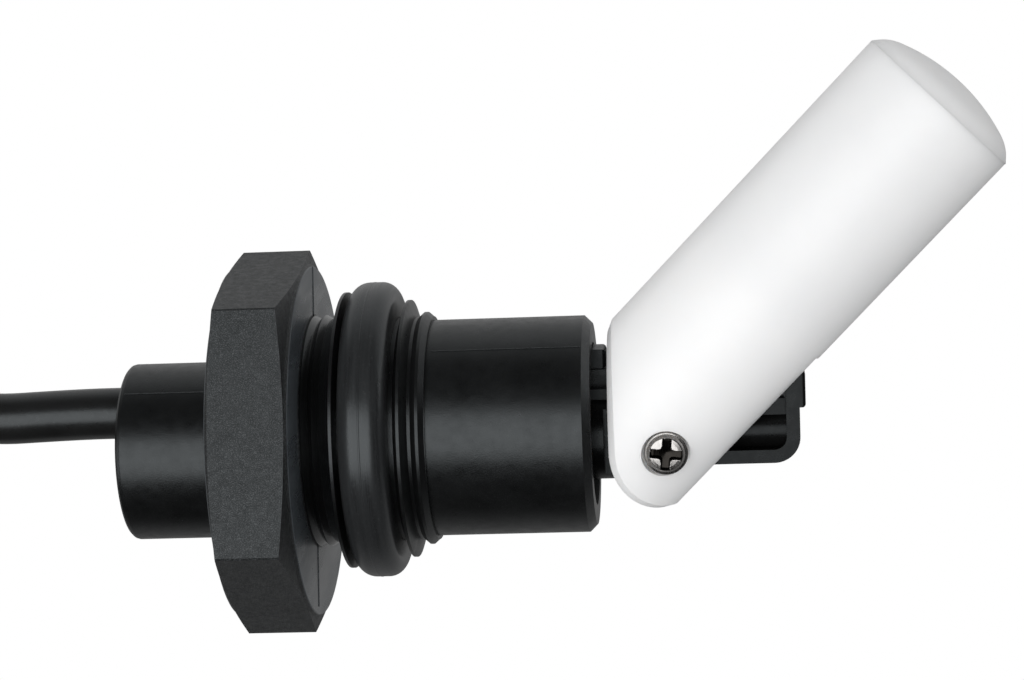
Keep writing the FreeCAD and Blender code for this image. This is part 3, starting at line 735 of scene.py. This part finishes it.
def make_cap(material):
    """Float's end cap: a rim that laps the tube, a soft corner and a smooth dome."""
    a = math.radians(SWING)
    along = Vector((math.cos(a), 0, -math.sin(a)))
    out = Vector((-math.sin(a), 0, -math.cos(a)))
    start = Vector(PIVOT) + out * FLOAT_SHIFT
    slope = (FLOAT_R - CAP_FLAT_R) / CAP_BEVEL
    rim = FLOAT_LONG - CAP_LAP
    spots = [(FLOAT_LONG - CAP_SPIGOT, 0), (FLOAT_LONG - CAP_SPIGOT, SPIGOT_R), (rim, SPIGOT_R),
             (rim, FLOAT_R + CAP_LIP), (FLOAT_LONG + CAP_LIP, FLOAT_R + CAP_LIP)]
    top = FLOAT_LONG + CAP_BEVEL
    dome_r = (CAP_FLAT_R ** 2 + CAP_DOME ** 2) / (2 * CAP_DOME)
    half = math.asin(CAP_FLAT_R / dome_r)

    def dome(share):
        turn = half * share
        return Vector((top + CAP_DOME - dome_r * (1 - math.cos(turn)), dome_r * math.sin(turn)))

    first = Vector((FLOAT_LONG + CAP_START * CAP_BEVEL, FLOAT_R - CAP_START * slope * CAP_BEVEL))
    corner = Vector((top, CAP_FLAT_R))
    last = dome(CAP_MEET)
    for k in range(CAP_CORNER_STEPS + 1):
        t = k / CAP_CORNER_STEPS
        spots.append(tuple(first * (1 - t) ** 2 + corner * 2 * t * (1 - t) + last * t ** 2))
    for k in range(1, CAP_DOME_STEPS):
        spots.append(tuple(dome(CAP_MEET * (1 - k / CAP_DOME_STEPS))))
    spots.append((top + CAP_DOME, 0))
    place = (start, along, out)
    cap = turned("cap_smooth", spots, place, "float", material, CAP_STEPS)
    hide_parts("float_end_cap")


def along_path(spots, x):
    """Height at x on a path of (x, height) spots that run inward."""
    for (x0, h0), (x1, h1) in zip(spots, spots[1:]):
        if x >= x1:
            return h0 + (h1 - h0) * (x0 - x) / (x0 - x1)
    return spots[-1][1]


def recess(u, v):
    """Depth of the cross recess at a spot of the screw's head."""
    def bar(a, b):
        out_a, out_b = abs(a) - ARM_LONG, abs(b) - ARM_HALF
        return max(out_a, out_b)
    first, second = bar(u, v), bar(v, u)
    share = max(ARM_CORNER - abs(first - second), 0.0) / ARM_CORNER
    edge = min(first, second) - share * share * ARM_CORNER / 4
    wall = min(1.0, max(0.0, (WALL_FOOT - edge) / WALL_WIDE))
    deep = RECESS_DEEP * (1 - RECESS_RISE * math.hypot(u, v) / ARM_LONG)
    return wall * wall * (3 - 2 * wall) * deep


def make_screw(material):
    """Pan head screw with a rounded cross recess."""
    steps = TURN_STEPS
    turn = math.radians(ARM_TURN)
    verts = [Vector(PIVOT) + Vector((0, -SEAT_Y, 0))]
    rows = [[0] * steps]
    plain = [(SHAFT_R, -SEAT_Y), (SHAFT_R, SEAT_Y)] + [(r, SEAT_Y + high) for r, high in HEAD_SIDE]
    shapes = [(r, y, 0.0) for r, y in plain]
    for k in range(1, HEAD_ROWS):
        r = HEAD_TOP[0][0] * (1 - k / HEAD_ROWS)
        shapes.append((r, SEAT_Y + along_path(HEAD_TOP, r), 1.0))
    for r, y, cut in shapes:
        rows.append([len(verts) + k for k in range(steps)])
        for k in range(steps):
            a = 2 * math.pi * k / steps
            deep = cut * recess(r * math.cos(a - turn), r * math.sin(a - turn))
            verts.append(Vector(PIVOT) + Vector((r * math.cos(a), y - deep, r * math.sin(a))))
    rows.append([len(verts)] * steps)
    verts.append(Vector(PIVOT) + Vector((0, SEAT_Y + HEAD_TOP[-1][1] - recess(0, 0), 0)))
    screw = add_mesh("screw_fine", verts, quads(rows), "float", material)
    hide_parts("pivot_screw")


def make_mouldings(materials):
    """Ridges on the neck, flash round the ring, and the mould's lines."""
    black = materials["housing_plastic"]
    section = [(NECK_SECTION[0][0], NECK_FOOT)] + NECK_SECTION + [(NECK_SECTION[-1][0], NECK_FOOT)]
    hoop("neck_thread", section, black)
    hoop("ring_flash", flash_section(), materials["seal_rubber"])
    for number, turn in enumerate((0, 180)):
        a = math.radians(BARREL_LINE + turn)
        ends = [(x, BARREL_R * math.sin(a), BARREL_R * math.cos(a)) for x in BARREL_SPAN]
        mould_line("barrel_line_%d" % number, ends, black)
        a = math.radians(BOSS_LINE + turn)
        ends = [(x, BOSS_R * math.sin(a), BOSS_RISE + BOSS_R * math.cos(a)) for x in BOSS_SPAN]
        mould_line("boss_line_%d" % number, ends, black)
    mould_line("face_line", [(FACE_X, y, z) for y, z in FACE_LINE], black)


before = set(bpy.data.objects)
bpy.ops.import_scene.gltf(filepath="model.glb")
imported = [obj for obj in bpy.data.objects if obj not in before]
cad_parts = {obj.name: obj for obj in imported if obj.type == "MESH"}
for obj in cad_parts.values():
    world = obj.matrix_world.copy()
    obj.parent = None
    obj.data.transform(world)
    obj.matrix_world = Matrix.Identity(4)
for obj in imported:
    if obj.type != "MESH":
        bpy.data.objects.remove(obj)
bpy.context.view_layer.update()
bpy.context.scene.view_settings.view_transform = "Standard"
make_camera()
finishes = make_materials()
make_cable(finishes["cable_sheath"])
make_key()
make_room()
paint(finishes)
make_ring(finishes["seal_rubber"])
make_cap(finishes["float_plastic"])
make_screw(finishes["screw_steel"])
make_mouldings(finishes)
make_floor()
